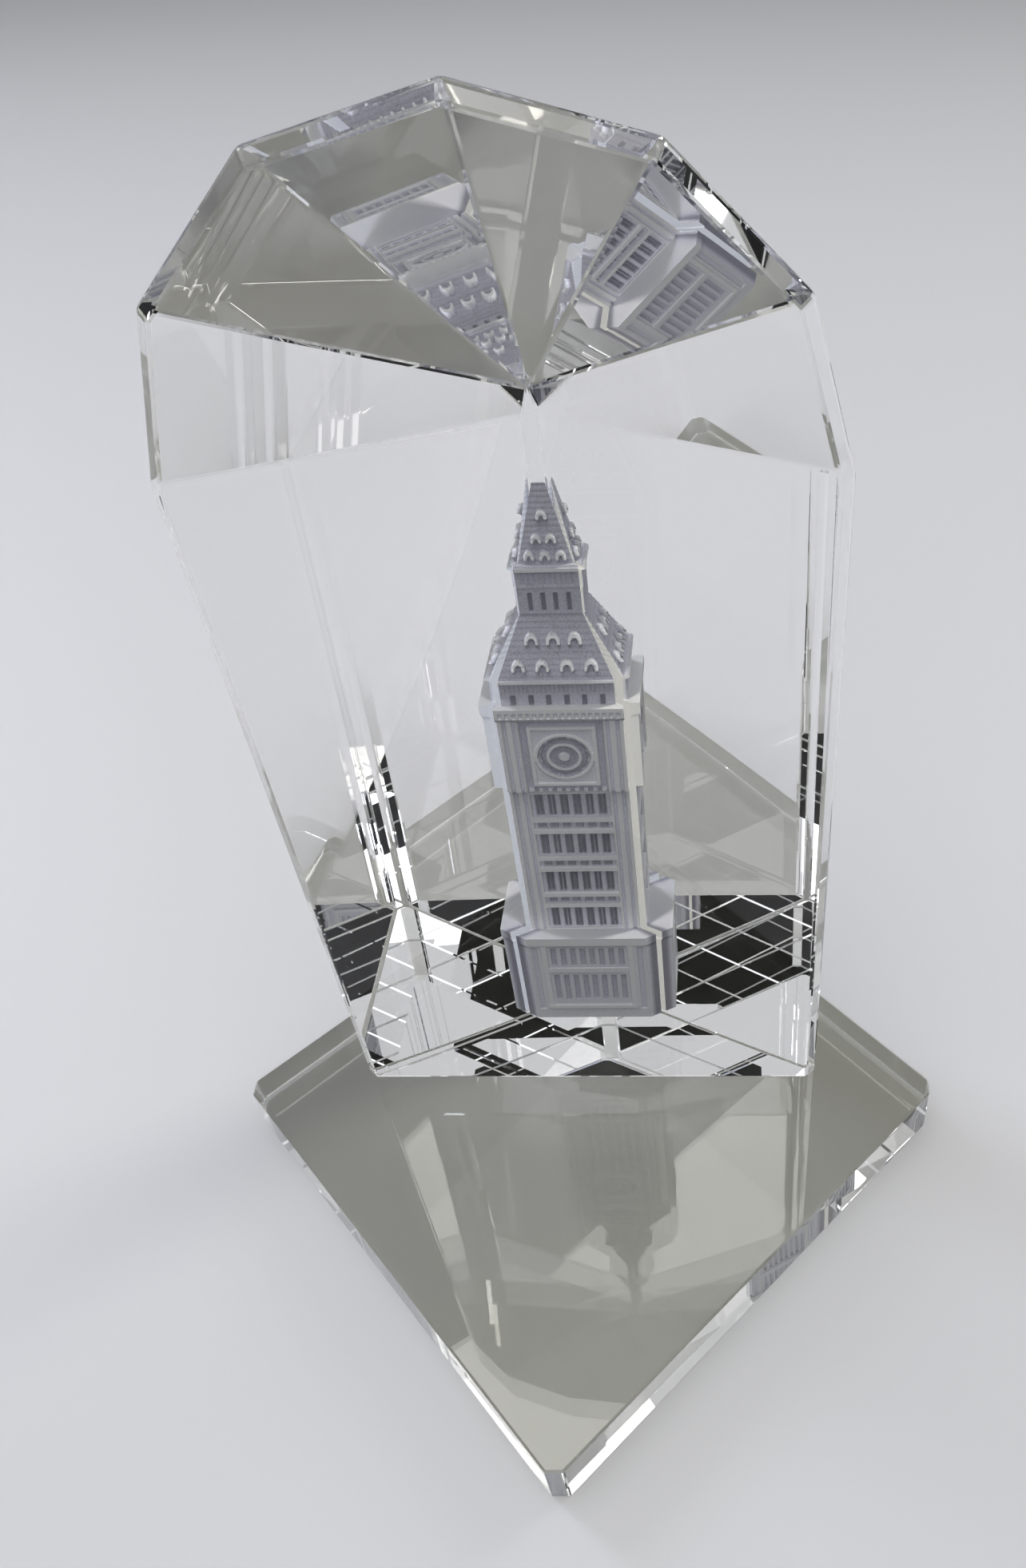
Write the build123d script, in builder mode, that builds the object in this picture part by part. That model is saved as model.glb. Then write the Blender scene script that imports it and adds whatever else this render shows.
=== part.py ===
from build123d import *
import os
from math import cos, radians, sin, sqrt

# Crystal award: an upright clear crystal block with a tower engraved below its surface,
# bonded to a square crystal base plate that is turned to stand on its diagonal.
# The block is a right-angled wedge in plan, so its two rear faces mirror like a roof
# prism: the engraving is the front part of a tower, and the mirrors complete it.
# Millimetres. +Z is up, the front face looks along -Y, and the origin is the middle
# of the underside of the base plate.

# --- Base plate -------------------------------------------------------------------------
plate_side = 80.0            # side of the square, before its corners are blunted
plate_thickness = 10.0
plate_turn = 45.0            # degrees: two corners on the X axis, two on the Y axis
corner_flat = 2.5            # width of the flat ground on each upright corner
plate_arris = 0.3            # polished arris around the top and the underside

# --- Clear adhesive ---------------------------------------------------------------------
bond_thickness = 0.1
bond_inset = 0.4             # the film stops just short of the block's edge

# --- Crystal block ----------------------------------------------------------------------
block_width = 74.0
block_height = 150.0
block_setback = 1.7          # front face behind the plate's middle line
front_bevel = 1.5            # 45 degree bevel around the sides and arch of the front face
girdle = 2.5                 # depth of the rim, bevel included, where the rear facets start
back_flat = 1.8              # width of the flat ground on the upright back edge
arch_height = 38.5           # from where the arch springs to its top, a little over a half circle
arch_facets = 6              # facets across the arch
apex_drop = 0.5              # the rear facets meet this far below the springing line

# --- Engraved tower: widths, heights and how far each front stands behind the block's -----
tower_foot = 0.4             # foot of the tower above the block's underside
rear_clearance = 0.7         # between the engraving and the block's rear faces
edge_clearance = 0.6         # between the engraving and the flat on the back edge

plinth_width = 24.0
plinth_height = 20.6
plinth_depth = 25.5
plinth_corner = 2.4          # 45 degree cut on its corners
plinth_ledge = 2.0           # height of the projecting ledge at its head
plinth_panel_width = 13.0
plinth_panel_base = 3.4
shaft_width = 17.6
shaft_height = 30.6
shaft_depth = 29.7
buttress_width = 2.9         # on each side of the shaft's and the clock stage's wall
panel_recess = 0.5           # walls and panels stand back by this much
clock_width = 17.6
clock_height = 13.4
clock_depth = 28.6
frame_width = 9.8            # frame around the clock face
frame_height = 11.4
frame_bar = 0.8
dial_radius = 4.3
dial_proud = 0.4
cornice_width = 18.0
cornice_height = 2.2
cornice_depth = 28.3
belfry_width = 15.8
belfry_height = 4.2
belfry_depth = 29.4
belfry_openings = 6
belfry_opening = (0.8, 1.6, 0.5)       # width, height, depth
lower_roof_height = 8.9
lantern_width = 8.4
lantern_height = 4.0
lantern_depth = 34.3
lantern_openings = 4
lantern_opening = (0.7, 2.8, 0.5)
gallery_width = 8.0          # plain band between the lantern and the upper roof
gallery_height = 3.5
gallery_depth = 34.5
upper_roof_width = 7.2
upper_roof_height = 10.9
upper_roof_depth = 34.9
tip_width = 1.7
tip_depth = 37.1

# --- Levels worked out from the above ----------------------------------------------------
bond_base = plate_thickness
block_base = bond_base + bond_thickness
half_width = block_width / 2
springing = block_height - arch_height
apex_height = springing - apex_drop
full_depth = half_width + girdle                 # where the two rear faces would meet
apex_depth = full_depth - back_flat / 2
tower_back = apex_depth - edge_clearance

plinth_base = block_base + tower_foot
shaft_base = plinth_base + plinth_height
clock_base = shaft_base + shaft_height
cornice_base = clock_base + clock_height
belfry_base = cornice_base + cornice_height
lower_roof_base = belfry_base + belfry_height
lantern_base = lower_roof_base + lower_roof_height
gallery_base = lantern_base + lantern_height
upper_roof_base = gallery_base + gallery_height
tip_level = upper_roof_base + upper_roof_height


def block_point(x, depth, height):
    """A point given across, behind the front face and above the block's underside."""
    return Vector(x, block_setback + depth, block_base + height)


def storey_plane(depth, level):
    """The horizontal plane at a level, centred on the middle of a storey's front."""
    return Plane((0, block_setback + depth, level))


def storey_plan(width, depth):
    """Draw a storey's rectangle, from its front back to the tower's back."""
    Rectangle(width, tower_back - depth, align=(Align.CENTER, Align.MIN))


def front_plane(depth, level):
    """The upright plane of a storey's front, looking forwards, at a level."""
    return Plane((0, block_setback + depth, level), x_dir=(1, 0, 0), z_dir=(0, -1, 0))


def cutting_plane(a, b, c, inside):
    """The plane through three points, facing away from a point inside the block."""
    normal = (b - a).cross(c - a).normalized()
    if normal.dot(inside - a) > 0:
        normal = -normal
    return Plane(a, z_dir=normal)


def trim_to_rear_faces():
    """Cut the part in hand so that it stays clear of the block's rear faces."""
    for face in rear_faces:
        split(bisect_by=face.offset(-rear_clearance), keep=Keep.BOTTOM)


def openings(stage_width, depth, level, count, size):
    """A row of small openings, to cut from a storey's front."""
    width, height, cut = size
    with BuildPart() as row:
        with BuildSketch(front_plane(depth, level + height / 2)):
            with GridLocations(stage_width / (count + 1), 0, count, 1):
                Rectangle(width, height)
        extrude(amount=-cut)
    return row.part


def save(piece, name):
    piece.part.label = name
    export_step(piece.part, f"parts/{name}.step")


os.makedirs("parts", exist_ok=True)

# --- Facets of the crystal block -----------------------------------------------------------
arch = [(half_width * cos(radians(180 * i / arch_facets)),
         springing + arch_height * sin(radians(180 * i / arch_facets)))
        for i in range(arch_facets + 1)]
outline = [(-half_width, 0), (half_width, 0)] + arch
apex = block_point(0, apex_depth, apex_height)
heart = block_point(0, half_width / 2, springing)
rim = [block_point(x, girdle, z) for x, z in arch]

rear_faces = [cutting_plane(block_point(side * half_width, girdle, 0),
                            block_point(side * half_width, girdle, springing),
                            block_point(0, full_depth, 0), heart) for side in (-1, 1)]
fan_facets = [cutting_plane(a, b, apex, heart) for a, b in zip(rim, rim[1:])]

# --- Base plate --------------------------------------------------------------------------
with BuildPart() as base_plate:
    with BuildSketch():
        Rectangle(plate_side, plate_side, rotation=plate_turn)
        chamfer(vertices(), length=corner_flat / sqrt(2))
    extrude(amount=plate_thickness)
    rims = faces().sort_by(Axis.Z)[-1].edges() + faces().sort_by(Axis.Z)[0].edges()
    chamfer(rims, length=plate_arris)
save(base_plate, "base_plate")

# --- Engraved tower, from its foot to its tip ---------------------------------------------
with BuildPart() as engraved_plinth:
    with BuildSketch(storey_plane(plinth_depth, plinth_base)):
        storey_plan(plinth_width, plinth_depth)
    extrude(amount=plinth_height)
    chamfer(edges().filter_by(Axis.Z).group_by(Axis.Y)[0], length=plinth_corner)
    panel_height = plinth_height - plinth_ledge - plinth_panel_base
    with BuildSketch(front_plane(plinth_depth, plinth_base + plinth_panel_base + panel_height / 2)):
        Rectangle(plinth_panel_width, panel_height)
    extrude(amount=-panel_recess, mode=Mode.SUBTRACT)
    trim_to_rear_faces()
save(engraved_plinth, "engraved_plinth")

with BuildPart() as engraved_shaft:
    with BuildSketch(storey_plane(shaft_depth, shaft_base)):
        storey_plan(shaft_width, shaft_depth)
    extrude(amount=shaft_height)
    with BuildSketch(front_plane(shaft_depth, shaft_base + shaft_height / 2)):
        Rectangle(shaft_width - 2 * buttress_width, shaft_height)
    extrude(amount=-panel_recess, mode=Mode.SUBTRACT)
    trim_to_rear_faces()
save(engraved_shaft, "engraved_shaft")

with BuildPart() as engraved_clock_stage:
    with BuildSketch(storey_plane(clock_depth, clock_base)):
        storey_plan(clock_width, clock_depth)
    extrude(amount=clock_height)
    with BuildSketch(front_plane(clock_depth, clock_base + clock_height / 2)):
        Rectangle(clock_width - 2 * buttress_width, clock_height)
        Rectangle(frame_width, frame_height, mode=Mode.SUBTRACT)
        Rectangle(frame_width - 2 * frame_bar, frame_height - 2 * frame_bar)
    extrude(amount=-panel_recess, mode=Mode.SUBTRACT)
    trim_to_rear_faces()
save(engraved_clock_stage, "engraved_clock_stage")

with BuildPart() as engraved_clock_dial:
    with BuildSketch(front_plane(clock_depth + panel_recess, clock_base + clock_height / 2)):
        Circle(dial_radius - frame_bar / 2)
    extrude(amount=dial_proud)
save(engraved_clock_dial, "engraved_clock_dial")

with BuildPart() as engraved_cornice:
    with BuildSketch(storey_plane(cornice_depth, cornice_base)):
        storey_plan(cornice_width, cornice_depth)
    extrude(amount=cornice_height)
    under_edge = faces().sort_by(Axis.Y)[0].edges().sort_by(Axis.Z)[0]
    chamfer(under_edge, length=clock_depth - cornice_depth)
    trim_to_rear_faces()
save(engraved_cornice, "engraved_cornice")

with BuildPart() as engraved_belfry:
    with BuildSketch(storey_plane(belfry_depth, belfry_base)):
        storey_plan(belfry_width, belfry_depth)
    extrude(amount=belfry_height)
    add(openings(belfry_width, belfry_depth, belfry_base, belfry_openings, belfry_opening),
        mode=Mode.SUBTRACT)
    trim_to_rear_faces()
save(engraved_belfry, "engraved_belfry")

with BuildPart() as engraved_lower_roof:
    with BuildSketch(storey_plane(belfry_depth, lower_roof_base)):
        storey_plan(belfry_width, belfry_depth)
    with BuildSketch(storey_plane(lantern_depth, lantern_base)):
        storey_plan(lantern_width, lantern_depth)
    loft()
    trim_to_rear_faces()
save(engraved_lower_roof, "engraved_lower_roof")

with BuildPart() as engraved_lantern:
    with BuildSketch(storey_plane(lantern_depth, lantern_base)):
        storey_plan(lantern_width, lantern_depth)
    extrude(amount=lantern_height)
    add(openings(lantern_width, lantern_depth, lantern_base, lantern_openings, lantern_opening),
        mode=Mode.SUBTRACT)
    with BuildSketch(storey_plane(gallery_depth, gallery_base)):
        storey_plan(gallery_width, gallery_depth)
    extrude(amount=gallery_height)
    trim_to_rear_faces()
save(engraved_lantern, "engraved_lantern")

with BuildPart() as engraved_upper_roof:
    with BuildSketch(storey_plane(upper_roof_depth, upper_roof_base)):
        storey_plan(upper_roof_width, upper_roof_depth)
    with BuildSketch(storey_plane(tip_depth, tip_level)):
        storey_plan(tip_width, tip_depth)
    loft()
    trim_to_rear_faces()
save(engraved_upper_roof, "engraved_upper_roof")

engraving = (engraved_plinth, engraved_shaft, engraved_clock_stage, engraved_clock_dial,
             engraved_cornice, engraved_belfry, engraved_lower_roof, engraved_lantern,
             engraved_upper_roof)

# --- Crystal block -----------------------------------------------------------------------
with BuildPart() as crystal_block:
    front = Plane(block_point(0, 0, 0), x_dir=(1, 0, 0), z_dir=(0, -1, 0))
    with BuildSketch(front):
        with BuildLine():
            Polyline(*outline, close=True)
        make_face()
    extrude(amount=-apex_depth)
    front_rim = faces().sort_by(Axis.Y)[0].edges().sort_by(Axis.Z)[1:]
    chamfer(front_rim, length=front_bevel)
    for facet in rear_faces + fan_facets:
        split(bisect_by=facet, keep=Keep.BOTTOM)
    for stage in engraving:
        add(stage.part, mode=Mode.SUBTRACT)
save(crystal_block, "crystal_block")

# --- Clear adhesive under the block --------------------------------------------------------
underside = crystal_block.faces().sort_by(Axis.Z)[0]
with BuildPart() as adhesive_film:
    with BuildSketch(Plane.XY.offset(bond_base)):
        add(underside.moved(Location((0, 0, -block_base))))
        offset(amount=-bond_inset, kind=Kind.INTERSECTION)
    extrude(amount=bond_thickness)
save(adhesive_film, "adhesive_film")
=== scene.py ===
import math

import bmesh
import bpy
import numpy as np
from mathutils import Matrix, Vector


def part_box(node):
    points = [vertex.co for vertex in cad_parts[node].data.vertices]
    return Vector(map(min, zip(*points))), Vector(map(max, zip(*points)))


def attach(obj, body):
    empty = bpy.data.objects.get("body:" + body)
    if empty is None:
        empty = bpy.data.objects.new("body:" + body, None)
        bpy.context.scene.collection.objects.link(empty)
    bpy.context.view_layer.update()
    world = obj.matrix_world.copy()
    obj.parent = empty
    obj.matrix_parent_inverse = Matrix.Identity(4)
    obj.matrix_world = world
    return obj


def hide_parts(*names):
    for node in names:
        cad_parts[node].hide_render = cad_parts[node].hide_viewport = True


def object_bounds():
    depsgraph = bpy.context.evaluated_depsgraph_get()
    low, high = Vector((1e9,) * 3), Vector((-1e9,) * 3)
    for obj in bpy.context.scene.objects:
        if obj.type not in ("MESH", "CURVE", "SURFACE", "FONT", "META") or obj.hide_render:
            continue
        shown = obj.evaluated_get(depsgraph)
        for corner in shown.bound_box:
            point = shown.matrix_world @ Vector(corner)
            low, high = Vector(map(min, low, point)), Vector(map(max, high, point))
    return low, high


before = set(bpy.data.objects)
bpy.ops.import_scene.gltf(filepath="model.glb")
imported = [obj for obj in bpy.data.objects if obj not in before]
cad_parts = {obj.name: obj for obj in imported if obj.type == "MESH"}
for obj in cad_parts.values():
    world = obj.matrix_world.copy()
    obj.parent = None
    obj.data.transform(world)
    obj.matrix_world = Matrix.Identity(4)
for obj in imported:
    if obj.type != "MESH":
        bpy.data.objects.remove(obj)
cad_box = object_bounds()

# A clear crystal award: a wedge-shaped block with a laser-engraved clock tower near its
# back edge, bonded to a square plate. Lengths are metres, written as millimetres * MM.
MM = 0.001
scene = bpy.context.scene

# --- Sizes that the frame's boxes don't give ------------------------------------------------
BACK_FLAT = 1.8 * MM          # flat ground on the block's upright back edge
REAR_CLEARANCE = 0.7 * MM     # between the engraving and the block's rear faces
TIP_HALF = 0.85 * MM          # half the width of the tower's tip
TIP_DEPTH = 37.1 * MM         # the tip's front stands this far behind the block's
BLOCK_ARRIS = 0.35 * MM       # polished arris on the block's edges
PLATE_ARRIS = 0.25 * MM       # and on the plate's upright corners
ARRIS_STEPS = 2

# --- Meshes ----------------------------------------------------------------------------------
WELD = 1e-6                   # vertices closer than this are one
SAME_PLANE = math.radians(0.5)
SHARP = math.radians(3)       # edges that turn more than this get an arris
LEVEL = 0.99                  # a face is level where its normal's Z is beyond this
UPRIGHT_EDGE = 5 * MM         # the plate's edges that climb more than this are its corners
SORT_ALONG = Vector((1, math.sqrt(5), math.sqrt(30)))   # cuts leave vertices in any order
CELL = 0.16 * MM              # spacing of the engraving's dots, and so of its mesh
SOFT = 0.12                   # width of an engraved edge's slope, in millimetres

# --- How close the engraving's dots are, from 0 to 1, stored on its meshes; deeper relief gets fewer, as painted shade in its recesses ---
DOTS_AND_SHADE = "dot_density_and_recess_shade"
DARKEST_RECESS = 1.3                 # millimetres behind a storey's front where the dots are sparsest and the painted shade darkest
DIAL_RECESS_SHADE = 2.4               # the dial's dots thin out this much per millimetre, as painted shade on its deeper rings
CUT_DENSITY = 0.35            # the dots thin out along the cuts beside the rear faces, where they also follow the front's courses, openings and painted recess shade
CUT_BANDS = 0.9               # where they also follow the front's courses and openings

# --- Crystal ---------------------------------------------------------------------------------
CRYSTAL_IOR = 1.52
HAZE_BAND = (0.62, 0.8)       # noise levels between which the polish turns faintly hazy

block_low, block_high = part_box("crystal_block")
front_y = block_low.y
mirror_y = block_high.y + BACK_FLAT / 2        # where the two rear faces would meet
clear_y = mirror_y - REAR_CLEARANCE * math.sqrt(2)


# --- Materials -------------------------------------------------------------------------------
def new_material(name):
    """An empty node material and its output node."""
    material = bpy.data.materials.new(name)
    material.use_nodes = True
    material.node_tree.nodes.clear()
    return material, material.node_tree, material.node_tree.nodes.new("ShaderNodeOutputMaterial")


def crystal(name, tint, shadow_tint, haze_scale, haze_depth):
    """Optical crystal that lets light through to what stands behind it and inside it."""
    material, tree, output = new_material(name)
    glass = tree.nodes.new("ShaderNodeBsdfPrincipled")
    glass.inputs["Base Color"].default_value = tint
    glass.inputs["Transmission Weight"].default_value = 1
    glass.inputs["IOR"].default_value = CRYSTAL_IOR
    place = tree.nodes.new("ShaderNodeTexCoord")
    haze = tree.nodes.new("ShaderNodeTexNoise")
    haze.inputs["Scale"].default_value = haze_scale
    smear = tree.nodes.new("ShaderNodeMapRange")
    smear.inputs["From Min"].default_value, smear.inputs["From Max"].default_value = HAZE_BAND
    smear.inputs["To Max"].default_value = haze_depth
    through = tree.nodes.new("ShaderNodeBsdfTransparent")
    through.inputs["Color"].default_value = shadow_tint
    path = tree.nodes.new("ShaderNodeLightPath")
    mix = tree.nodes.new("ShaderNodeMixShader")
    tree.links.new(place.outputs["Object"], haze.inputs["Vector"])
    tree.links.new(haze.outputs["Fac"], smear.inputs["Value"])
    tree.links.new(smear.outputs["Result"], glass.inputs["Roughness"])
    tree.links.new(path.outputs["Is Shadow Ray"], mix.inputs["Fac"])
    tree.links.new(glass.outputs["BSDF"], mix.inputs[1])
    tree.links.new(through.outputs["BSDF"], mix.inputs[2])
    tree.links.new(mix.outputs["Shader"], output.inputs["Surface"])
    return material


def bonded_face():
    """A face in optical contact with the next piece, which light crosses unbent."""
    material, tree, output = new_material("bonded_face")
    through = tree.nodes.new("ShaderNodeBsdfTransparent")
    tree.links.new(through.outputs["BSDF"], output.inputs["Surface"])
    return material


def engraving_dots():
    """White frosted dots: a fine grain, darker where the dots are sparse and in the recesses,
    where this is painted shade, and a pale sheen.
    """
    material, tree, output = new_material("engraving")
    frost = tree.nodes.new("ShaderNodeBsdfPrincipled")
    frost.inputs["Roughness"].default_value = 0.85
    frost.inputs["Specular IOR Level"].default_value = 0.2
    frost.inputs["Sheen Weight"].default_value = 0.25
    frost.inputs["Sheen Roughness"].default_value = 0.5
    place = tree.nodes.new("ShaderNodeTexCoord")
    grain = tree.nodes.new("ShaderNodeTexVoronoi")
    grain.inputs["Scale"].default_value = 4200
    density = tree.nodes.new("ShaderNodeAttribute")
    density.attribute_name = DOTS_AND_SHADE
    speckle = tree.nodes.new("ShaderNodeMath")
    speckle.operation = "MULTIPLY_ADD"
    speckle.inputs[1].default_value = -0.25
    # The dark end colours sparse dots and the painted shade in the recesses.
    ramp = tree.nodes.new("ShaderNodeValToRGB")
    ramp.color_ramp.elements[0].position = 0.0
    ramp.color_ramp.elements[0].color = (0.27, 0.27, 0.32, 1)
    ramp.color_ramp.elements[1].position = 0.85
    ramp.color_ramp.elements[1].color = (1.0, 1.0, 0.98, 1)
    middle = ramp.color_ramp.elements.new(0.5)
    middle.color = (0.78, 0.78, 0.86, 1)
    tree.links.new(place.outputs["Object"], grain.inputs["Vector"])
    tree.links.new(grain.outputs["Distance"], speckle.inputs[0])
    tree.links.new(density.outputs["Fac"], speckle.inputs[2])
    tree.links.new(speckle.outputs["Value"], ramp.inputs["Fac"])
    tree.links.new(ramp.outputs["Color"], frost.inputs["Base Color"])
    tree.links.new(frost.outputs["BSDF"], output.inputs["Surface"])
    return material


def floor_paint():
    """Matt pale paint with a faint mottle."""
    material, tree, output = new_material("floor_paint")
    paint = tree.nodes.new("ShaderNodeBsdfPrincipled")
    paint.inputs["Roughness"].default_value = 0.6
    mottle = tree.nodes.new("ShaderNodeTexNoise")
    mottle.inputs["Scale"].default_value = 3
    ramp = tree.nodes.new("ShaderNodeValToRGB")
    ramp.color_ramp.elements[0].color = (0.36, 0.36, 0.37, 1)
    ramp.color_ramp.elements[1].color = (0.39, 0.39, 0.395, 1)
    tree.links.new(mottle.outputs["Fac"], ramp.inputs["Fac"])
    tree.links.new(ramp.outputs["Color"], paint.inputs["Base Color"])
    tree.links.new(paint.outputs["BSDF"], output.inputs["Surface"])
    return material


block_crystal = crystal("block_crystal", (1, 1, 1, 1), (0.94, 0.95, 0.96, 1), 35, 0.03)
base_crystal = crystal("base_crystal", (0.88, 0.88, 0.83, 1), (0.82, 0.82, 0.78, 1), 45, 0.04)
contact = bonded_face()
engraving = engraving_dots()


# --- Mesh helpers ------------------------------------------------------------------------------
def new_object(name, data):
    made = bpy.data.objects.new(name, data)
    scene.collection.objects.link(made)
    return made


def add_piece(mesh_source, name, materials, replaced):
    """Turn a bmesh into a piece that rides on the body and stands for a CAD node."""
    for face in mesh_source.faces:
        face.smooth = False
    mesh = bpy.data.meshes.new(name)
    mesh_source.to_mesh(mesh)
    mesh_source.free()
    for material in materials:
        mesh.materials.append(material)
    piece = new_object(name, mesh)
    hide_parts(replaced)
    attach(piece, "root")


def outer_shell(node):
    """The outer shell of a CAD node as flat polygons, without any sealed cavity."""
    shell = bmesh.new()
    shell.from_mesh(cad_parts[node].data)
    bmesh.ops.remove_doubles(shell, verts=shell.verts, dist=WELD)
    reached = {max(shell.verts, key=lambda vertex: vertex.co.z)}
    waiting = list(reached)
    while waiting:
        vertex = waiting.pop()
        for neighbour in (edge.other_vert(vertex) for edge in vertex.link_edges):
            if neighbour not in reached:
                reached.add(neighbour)
                waiting.append(neighbour)
    inner = [vertex for vertex in shell.verts if vertex not in reached]
    bmesh.ops.delete(shell, geom=inner, context="VERTS")
    bmesh.ops.dissolve_limit(shell, angle_limit=SAME_PLANE,
                             verts=shell.verts, edges=shell.edges)
    shell.normal_update()
    return shell


def grind_arrises(shell, edges, width):
    """Round these edges off a little, as polishing does."""
    bmesh.ops.bevel(shell, geom=edges, offset=width, segments=ARRIS_STEPS, profile=0.5,
                    affect="EDGES", clamp_overlap=True)
    shell.normal_update()


# --- Crystal block, plate and the adhesive between them -----------------------------------------
def build_block():
    """The block, with an arris on every edge but those of its bonded underside."""
    shell = outer_shell("crystal_block")
    sharp = [edge for edge in shell.edges
             if edge.calc_face_angle(0) > SHARP
             and max(vertex.co.z for vertex in edge.verts) > block_low.z + WELD]
    grind_arrises(shell, sharp, BLOCK_ARRIS)
    for face in shell.faces:
        face.material_index = 1 if face.normal.z < -LEVEL else 0
    add_piece(shell, "clear_block", [block_crystal, contact], "crystal_block")


def build_film():
    """The film, bonded above and below. Returns a point and a normal for each of its sides."""
    film = outer_shell("adhesive_film")
    sides = []
    for face in film.faces:
        bonded = abs(face.normal.z) > LEVEL
        face.material_index = 1 if bonded else 0
        if not bonded:
            sides.append((face.calc_center_median(), face.normal.copy()))
    add_piece(film, "clear_adhesive_film", [base_crystal, contact], "adhesive_film")
    return sides


def build_plate(film_sides):
    """The plate, with the part of its top that the film covers as a face of its own."""
    shell = outer_shell("base_plate")
    upright = [edge for edge in shell.edges
               if abs(edge.verts[0].co.z - edge.verts[1].co.z) > UPRIGHT_EDGE]
    grind_arrises(shell, upright, PLATE_ARRIS)
    top_z = max(vertex.co.z for vertex in shell.verts)
    for place, outward in film_sides:
        top = [face for face in shell.faces
               if face.normal.z > LEVEL and face.calc_center_median().z > top_z - WELD]
        edges = dict.fromkeys(edge for face in top for edge in face.edges)
        corners = dict.fromkeys(vertex for face in top for vertex in face.verts)
        bmesh.ops.bisect_plane(shell, geom=[*top, *edges, *corners], plane_co=place,
                               plane_no=outward, dist=WELD / 10)
    shell.normal_update()
    for face in shell.faces:
        middle = face.calc_center_median()
        covered = all((middle - place).dot(outward) < 0 for place, outward in film_sides)
        face.material_index = 1 if face.normal.z > LEVEL and covered else 0
    shell.verts.sort(key=lambda vertex: vertex.co.dot(SORT_ALONG))
    shell.faces.sort(key=lambda face: face.calc_center_median().dot(SORT_ALONG))
    add_piece(shell, "clear_plate", [base_crystal, contact], "base_plate")


# --- Relief ------------------------------------------------------------------------------------
# How far the engraved surface stands behind its storey's front, in millimetres. x is measured
# from the tower's middle and z from the storey's foot, in millimetres too.
# The depth also paints shade: deeper parts of the relief get fewer dots and so a darker colour.
STOREY_PITCH = 8.2       # one tier of windows and the string courses above it
TIER_FOOT = 0.4
WINDOW_HEIGHT = 4.4
WALL_HALF = 5.9          # half the wall between the buttresses
WINDOWS_HALF = 5.6       # half the row of windows in it
WINDOW_COUNT = 6
BUTTRESS_OUTER = 8.6     # the buttresses' grooves end this far from the middle
CORNER_CUT = 9.6         # the plinth's corners are cut away beyond this
DIAL_HEIGHT = 6.7        # the dial's middle above the clock stage's foot
DIAL_RADIUS = 4.25
DORMER_BAR = 0.45        # thickness of a dormer's arch


def rise(t, at):
    """0 below a place and 1 above it, with an engraved edge's softness."""
    s = np.clip((t - at) / SOFT + 0.5, 0, 1)
    return s * s * (3 - 2 * s)


def within(t, low, high):
    return rise(t, low) * (1 - rise(t, high))


def comb(t, low, high, count, share):
    """Evenly spaced bars between two places, each taking a share of its bay."""
    bay = (high - low) / count
    offset = np.abs((t - low) % bay - bay / 2)
    return (1 - rise(offset, bay * share / 2)) * within(t, low, high)


def arch_ridge(x, z, middle, foot, half_width, height, bar):
    """An upright arch, open below, as a ridge along its outline."""
    radius = np.hypot((x - middle) / half_width, (z - foot) / height)
    band = bar / half_width
    return within(radius * half_width, half_width * (1 - band), half_width) * rise(z, foot - 0.1)


def ring(x, up, radius, bar):
    return within(np.hypot(x, up), radius - bar, radius)


def dormers(x, z, rows, half_width, height, proud):
    """Rows of little arched dormers on a roof: (foot, count, spacing) for each row."""
    raised = np.zeros_like(x)
    for foot, count, spacing in rows:
        for i in range(count):
            middle = (i - (count - 1) / 2) * spacing
            arch = arch_ridge(x, z, middle, foot, half_width, height, DORMER_BAR)
            raised = np.maximum(raised, arch * proud)
    return raised


def buttress_grooves(x):
    """Two grooves that run up each of the buttresses beside a wall."""
    return 0.5 * comb(np.abs(x), WALL_HALF, BUTTRESS_OUTER, 2, 0.34)


def window_bays(x, share):
    return comb(x, -WINDOWS_HALF, WINDOWS_HALF, WINDOW_COUNT, share)


def shaft_relief(x, z):
    """Four tiers of six tall windows, with a pair of string courses over each."""
    wall = within(x, -WALL_HALF, WALL_HALF)
    tier = (z - TIER_FOOT) % STOREY_PITCH
    glazing = within(tier, 0.2, WINDOW_HEIGHT) \
        * (0.65 * window_bays(x, 0.56) - 0.35 * window_bays(x, 0.12))
    courses = within(tier, WINDOW_HEIGHT + 0.15, WINDOW_HEIGHT + 1.25) \
        + within(tier, STOREY_PITCH - 1.2, STOREY_PITCH - 0.1)
    holes = within(tier, WINDOW_HEIGHT + 1.45, STOREY_PITCH - 1.4) * window_bays(x, 0.6)
    top_band = rise(z, TIER_FOOT + 3 * STOREY_PITCH + WINDOW_HEIGHT + 0.3)
    wall_depth = 0.5 + glazing - 0.42 * courses + 0.4 * holes
    wall_depth = wall_depth * (1 - top_band) + 0.15 * top_band
    return wall * wall_depth + buttress_grooves(x)


def plinth_relief(x, z):
    """A ledge at the head, cut corners, and a framed panel with two rows of slots."""
    cut_corner = np.maximum(0, np.abs(x) - CORNER_CUT)
    panel = within(x, -6.5, 6.5) * within(z, 3.4, 18.4)
    frame_bars = within(np.abs(x), 6.6, 7.5) * within(z, 3.0, 18.6)
    slots = comb(x, -6.3, 6.3, 8, 0.5)
    rows = within(z, 13.8, 18.0) + within(z, 5.0, 11.2)
    course = within(z, 11.9, 13.2)
    sill = within(x, -7.6, 7.6) * within(z, 2.5, 3.5)
    piers = comb(np.abs(x), 7.7, 9.5, 1, 0.5) * within(z, 1.2, 18.2)
    below_ledge = 1 - rise(z, 18.7)
    base = 1 - rise(z, 2.4)
    depth = 0.2 + panel * (0.12 + 0.42 * slots * rows - 0.15 * course)
    depth = depth - 0.15 * frame_bars - 0.2 * sill + 0.25 * piers
    depth = depth * below_ledge * (1 - base) + 0.2 * base
    return cut_corner + depth


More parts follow.
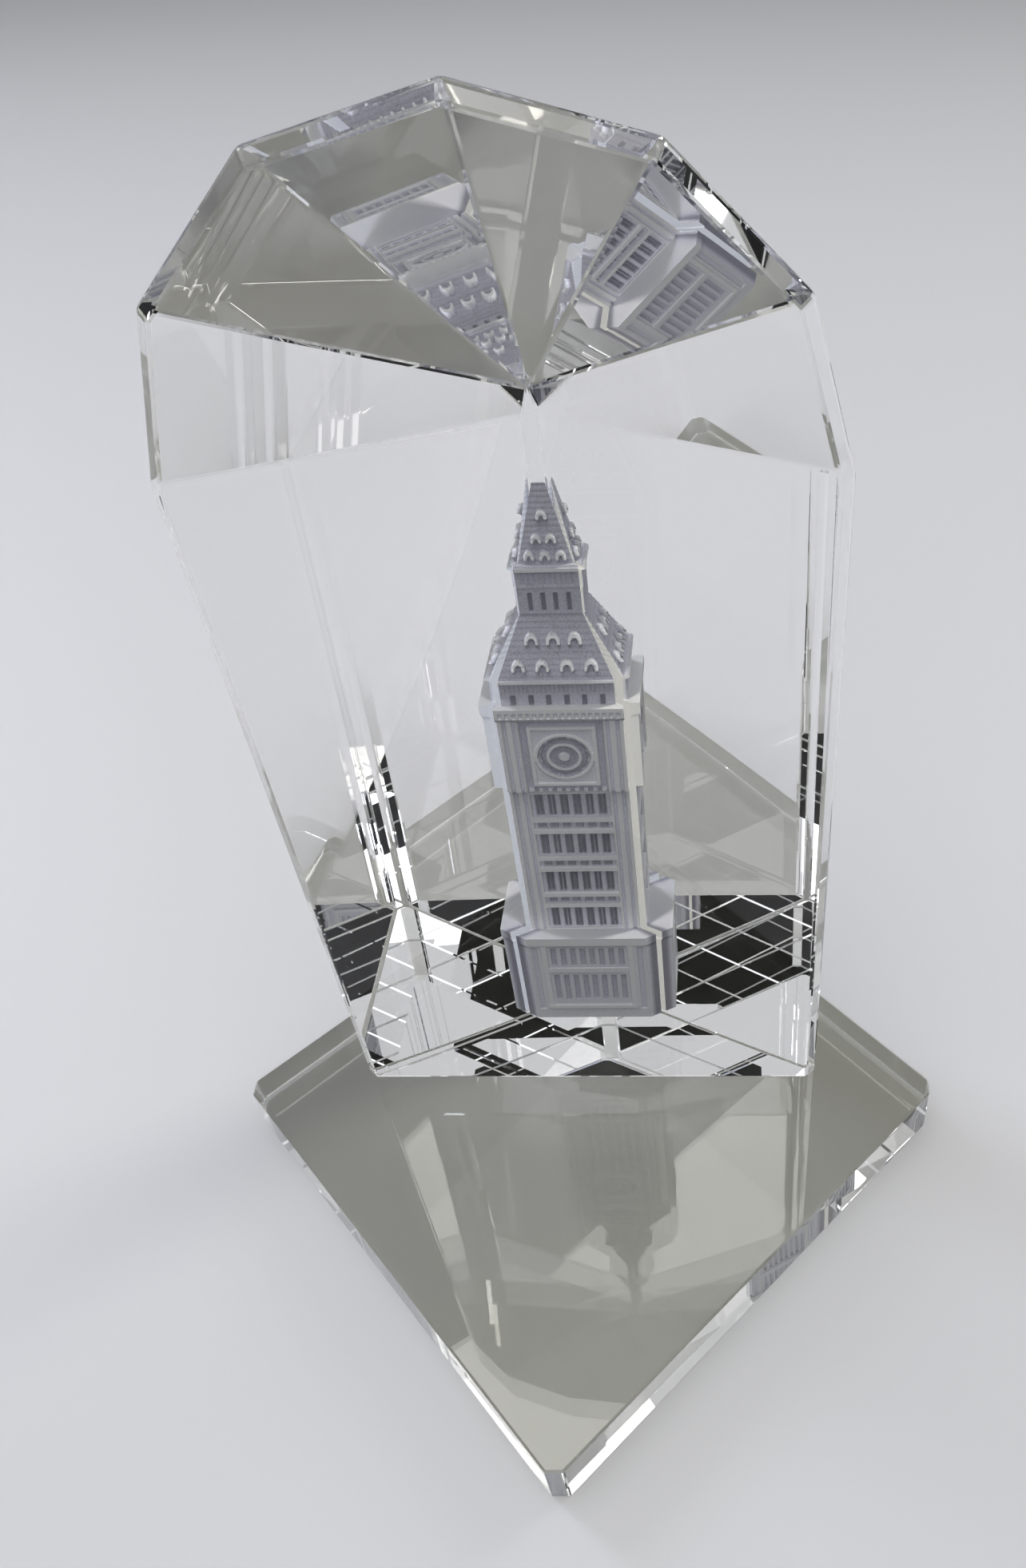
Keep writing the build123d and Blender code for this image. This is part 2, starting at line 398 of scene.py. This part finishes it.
def clock_relief(x, z):
    """A square frame with the dial's rings, between ribbed buttresses."""
    up = z - DIAL_HEIGHT
    wall = within(x, -WALL_HALF, WALL_HALF)
    frame_out = within(x, -4.9, 4.9) * within(up, -5.6, 5.7)
    frame_in = within(x, -4.2, 4.2) * within(up, -4.9, 5.0)
    outer_ring = ring(x, up, DIAL_RADIUS, 0.55)
    inner_ring = ring(x, up, 2.45, 0.5)
    boss = 1 - rise(np.hypot(x, up), 0.75)
    minutes = comb(np.arctan2(up, x), -math.pi, math.pi, 12, 0.35) * ring(x, up, 3.6, 0.7)
    face = frame_in * (1 - rise(np.hypot(x, up), DIAL_RADIUS))
    depth = 0.75 - 0.7 * frame_out + 0.25 * frame_in + 0.45 * face
    depth = depth - 0.7 * outer_ring - 0.4 * inner_ring - 0.3 * boss - 0.2 * minutes
    corbels = comb(x, -WALL_HALF, WALL_HALF, 9, 0.6) * within(z, 0.1, 0.8)
    depth = depth - 0.6 * corbels * wall * (1 - frame_out)
    return wall * np.clip(depth, 0, 1.1) + buttress_grooves(x)


def cornice_relief(x, z):
    """A slanting underside and a row of small blocks under the top moulding."""
    slant = 0.3 * (1 - np.clip(z / 0.5, 0, 1))
    blocks = 0.3 * comb(x, -8.7, 8.7, 18, 0.45) * within(z, 0.6, 1.4)
    return slant + blocks


def belfry_relief(x, z):
    """Small pointed openings low in the wall and a thin moulding above them."""
    opening = comb(x, -7.4, 7.4, 6, 0.26) * within(z, 0.1, 1.7)
    posts = 0.12 * comb(x, -7.4, 7.4, 24, 0.4) * within(z, 2.1, 3.6)
    moulding = within(z, 3.7, 4.2)
    return 0.7 + 0.5 * opening + posts - 0.6 * moulding


def lower_roof_relief(x, z):
    """Two rows of dormers over faint slate courses."""
    rows = ((1.4, 4, 3.3), (5.0, 3, 2.9))
    courses = 0.07 * comb(z, 0, 8.9, 11, 0.4)
    return 0.85 + courses - dormers(x, z, rows, 0.95, 1.55, 0.8)


def lantern_relief(x, z):
    """Slots between posts, then the gallery's plain band with a moulding."""
    slots = comb(x, -3.4, 3.4, 4, 0.3) * within(z, 0.5, 3.3)
    gallery = rise(z, 4.0)
    rail = within(z, 6.6, 7.3)
    panels = 0.12 * comb(x, -3.6, 3.6, 10, 0.5) * within(z, 4.5, 6.3)
    return 0.7 + 0.5 * slots - 0.1 * gallery + panels - 0.5 * rail


def upper_roof_relief(x, z):
    """Three rows of dormers over faint slate courses."""
    rows = ((0.7, 3, 2.05), (3.0, 2, 1.9), (6.2, 1, 0))
    courses = 0.05 * comb(z, 0, 10.9, 14, 0.4)
    return 0.8 + courses - dormers(x, z, rows, 0.72, 1.25, 0.75)


def build_storey(name, node, relief, top_half=None, top_front=None):
    """A closed mesh: the relief in front, then back along the sides to the rear faces.

    The CAD node's box gives its foot. A roof narrows to a half width and a front of its own.
    """
    low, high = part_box(node)
    foot_half, foot_front = high.x, low.y
    top_half = foot_half if top_half is None else top_half
    top_front = foot_front if top_front is None else top_front
    back = min(high.y, clear_y - BACK_FLAT / 4)
    tail = max(clear_y - back, WELD)
    columns = max(8, round(2 * foot_half / CELL))
    rows = max(4, round((high.z - low.z) / CELL))
    across = np.linspace(-1, 1, columns + 1)
    verts, dots_and_shade, loop = [], [], columns + 5
    for step in np.linspace(0, 1, rows + 1):
        z = low.z + step * (high.z - low.z)
        half = foot_half + step * (top_half - foot_half)
        front = foot_front + step * (top_front - foot_front)
        x = across * half
        depth = np.clip(relief(x / MM, np.full_like(x, (z - low.z) / MM)), 0, None)
        y = front + depth * MM
        side = max(clear_y - half, y[-1] + CELL / 4)
        verts += [(a, b, z) for a, b in zip(x, y)]
        verts += [(half, side, z), (tail, back, z), (-tail, back, z), (-half, side, z)]
        # Fewer dots where the relief lies deeper: painted shade in the recesses, which the cuts'
        # bands follow too.
        front_dots_and_shade = np.clip(1 - depth / DARKEST_RECESS, 0, 1)
        cut_dots = CUT_DENSITY + CUT_BANDS * (front_dots_and_shade.mean() - 0.5)
        dots_and_shade += list(front_dots_and_shade) + [1, cut_dots, cut_dots, 1]
    faces = [(r * loop + i, r * loop + (i + 1) % loop,
              (r + 1) * loop + (i + 1) % loop, (r + 1) * loop + i)
             for r in range(rows) for i in range(loop)]
    faces += [tuple(reversed(range(loop))), tuple(range(rows * loop, (rows + 1) * loop))]
    mesh = bpy.data.meshes.new(name)
    mesh.from_pydata(verts, [], faces)
    mesh.attributes.new(DOTS_AND_SHADE, "FLOAT", "POINT").data.foreach_set("value", dots_and_shade)
    storey = bmesh.new()
    storey.from_mesh(mesh)
    bpy.data.meshes.remove(mesh)
    bmesh.ops.recalc_face_normals(storey, faces=storey.faces)
    add_piece(storey, name, [engraving], node)


DIAL_TURNS = 72
DIAL_PROFILE = (         # radius and depth behind the dial's front, in millimetres
    (3.3, 0.42), (3.2, 0.3), (2.6, 0.3), (2.5, 0.05), (2.1, 0.05), (2.0, 0.3), (0.9, 0.3),
    (0.7, 0.05))


def build_dial():
    """The dial's raised ring and boss: a stepped disc inside the clock stage's outer ring."""
    low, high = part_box("engraved_clock_dial")
    middle = (low + high) / 2
    disc = bmesh.new()
    angles = [2 * math.pi * i / DIAL_TURNS for i in range(DIAL_TURNS)]
    rings = [[disc.verts.new((middle.x + radius * MM * math.cos(angle), low.y + depth * MM,
                              middle.z + radius * MM * math.sin(angle))) for angle in angles]
             for radius, depth in DIAL_PROFILE]
    for outer, inner in zip(rings, rings[1:]):
        for i in range(DIAL_TURNS):
            j = (i + 1) % DIAL_TURNS
            disc.faces.new((outer[i], outer[j], inner[j], inner[i]))
    disc.faces.new(rings[-1])
    disc.faces.new(list(reversed(rings[0])))
    bmesh.ops.recalc_face_normals(disc, faces=disc.faces)
    dots_and_shade = disc.verts.layers.float.new(DOTS_AND_SHADE)
    # Fewer dots on the deeper rings: painted shade in the dial's recesses.
    for vertex in disc.verts:
        vertex[dots_and_shade] = max(0, 1 - (vertex.co.y - low.y) / MM * DIAL_RECESS_SHADE)
    add_piece(disc, "engraved_dial_rings", [engraving], "engraved_clock_dial")


# --- The award ----------------------------------------------------------------------------------
build_block()
build_plate(build_film())

lantern_low, lantern_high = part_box("engraved_lantern")
build_storey("engraved_plinth_relief", "engraved_plinth", plinth_relief)
build_storey("engraved_shaft_relief", "engraved_shaft", shaft_relief)
build_storey("engraved_clock_relief", "engraved_clock_stage", clock_relief)
build_storey("engraved_cornice_relief", "engraved_cornice", cornice_relief)
build_storey("engraved_belfry_relief", "engraved_belfry", belfry_relief)
build_storey("engraved_lower_roof_relief", "engraved_lower_roof", lower_roof_relief,
             lantern_high.x, lantern_low.y)
build_storey("engraved_lantern_relief", "engraved_lantern", lantern_relief)
build_storey("engraved_upper_roof_relief", "engraved_upper_roof", upper_roof_relief,
             TIP_HALF, front_y + TIP_DEPTH)
build_dial()

# --- Floor ---------------------------------------------------------------------------------------
FLOOR_RADIUS = 3.0
FLOOR_SIDES = 96
AIR_GAP = 0.2 * MM            # the plate is not stuck to the floor
floor_mesh = bmesh.new()
bmesh.ops.create_circle(floor_mesh, cap_ends=True, segments=FLOOR_SIDES, radius=FLOOR_RADIUS)
floor_data = bpy.data.meshes.new("floor")
floor_mesh.to_mesh(floor_data)
floor_mesh.free()
floor_data.materials.append(floor_paint())
floor = new_object("floor", floor_data)
floor.location.z = cad_box[0][2] - AIR_GAP

# --- Camera: above the block and close in front of it --------------------------------------------
CAMERA_FROM_BLOCK = Vector((0.3247, -1.4529, 2.3835))   # in block widths, from its front foot
HEADING = math.radians(1.93)
DIP = math.radians(41.3)
ROLL = math.radians(-1.79)
SENSOR = 36.0
LENS = 27.58
SHIFT = (-0.1208, -0.0522)    # the photograph's optical axis is right of its middle
CLIP = (0.01, 20)

block_width = block_high.x - block_low.x
forward = Vector((-math.sin(HEADING) * math.cos(DIP), math.cos(HEADING) * math.cos(DIP),
                  -math.sin(DIP)))
level = forward.cross(Vector((0, 0, 1))).normalized()
lift = level.cross(forward)
right = level * math.cos(ROLL) + lift * math.sin(ROLL)
up = lift * math.cos(ROLL) - level * math.sin(ROLL)
place = Vector((0, front_y, block_low.z)) + CAMERA_FROM_BLOCK * block_width

camera_data = bpy.data.cameras.new("camera")
camera_data.sensor_width = SENSOR
camera_data.lens = LENS
camera_data.shift_x, camera_data.shift_y = SHIFT
camera_data.clip_start, camera_data.clip_end = CLIP
camera = new_object("camera", camera_data)
camera.matrix_world = Matrix((
    (right.x, up.x, -forward.x, place.x),
    (right.y, up.y, -forward.y, place.y),
    (right.z, up.z, -forward.z, place.z),
    (0, 0, 0, 1)))
scene.camera = camera


# --- Light ---------------------------------------------------------------------------------------
AIM_POINT = Vector((0, 0.02, 0.07))     # the middle of the block
BOUNCES = 24                            # enough for the crystal's inner reflections
MIRROR_BOUNCES = 12


def soft_light(name, place, size, power, colour, spread=180):
    """A rectangular lamp that faces the block."""
    light = bpy.data.lights.new(name, "AREA")
    light.shape = "RECTANGLE"
    light.size, light.size_y = size
    light.spread = math.radians(spread)
    light.energy = power
    light.color = colour
    lamp = new_object(name, light)
    lamp.location = place
    lamp.rotation_euler = (Vector(place) - AIM_POINT).to_track_quat("Z", "Y").to_euler()


soft_light("overhead", (-0.15, -0.1, 1.1), (0.9, 0.7), 5.8, (1.0, 0.99, 0.97))
soft_light("front_fill", (0.15, -1.5, 0.85), (2.4, 1.5), 12, (0.93, 0.94, 1.0))
soft_light("right_strip", (1.1, 0.75, 0.95), (0.3, 0.7), 3.2, (1.0, 0.98, 0.92), spread=80)
soft_light("left_strip", (-1.1, 0.75, 0.95), (0.3, 0.7), 3.2, (0.84, 0.88, 1.0), spread=80)

ceiling = bpy.data.lights.new("ceiling", "SUN")     # evens out the floor, far off too
ceiling.energy = 0.6
ceiling.angle = math.radians(120)
new_object("ceiling", ceiling).location.z = 2

world = bpy.data.worlds.new("studio")
scene.world = world
world.use_nodes = True
backdrop = world.node_tree.nodes["Background"]
backdrop.inputs["Color"].default_value = (0.34, 0.345, 0.36, 1)

scene.cycles.max_bounces = BOUNCES
scene.cycles.transmission_bounces = BOUNCES
scene.cycles.glossy_bounces = MIRROR_BOUNCES
scene.cycles.transparent_max_bounces = BOUNCES
scene.cycles.caustics_refractive = False
scene.cycles.caustics_reflective = False
scene.view_settings.view_transform = "Standard"
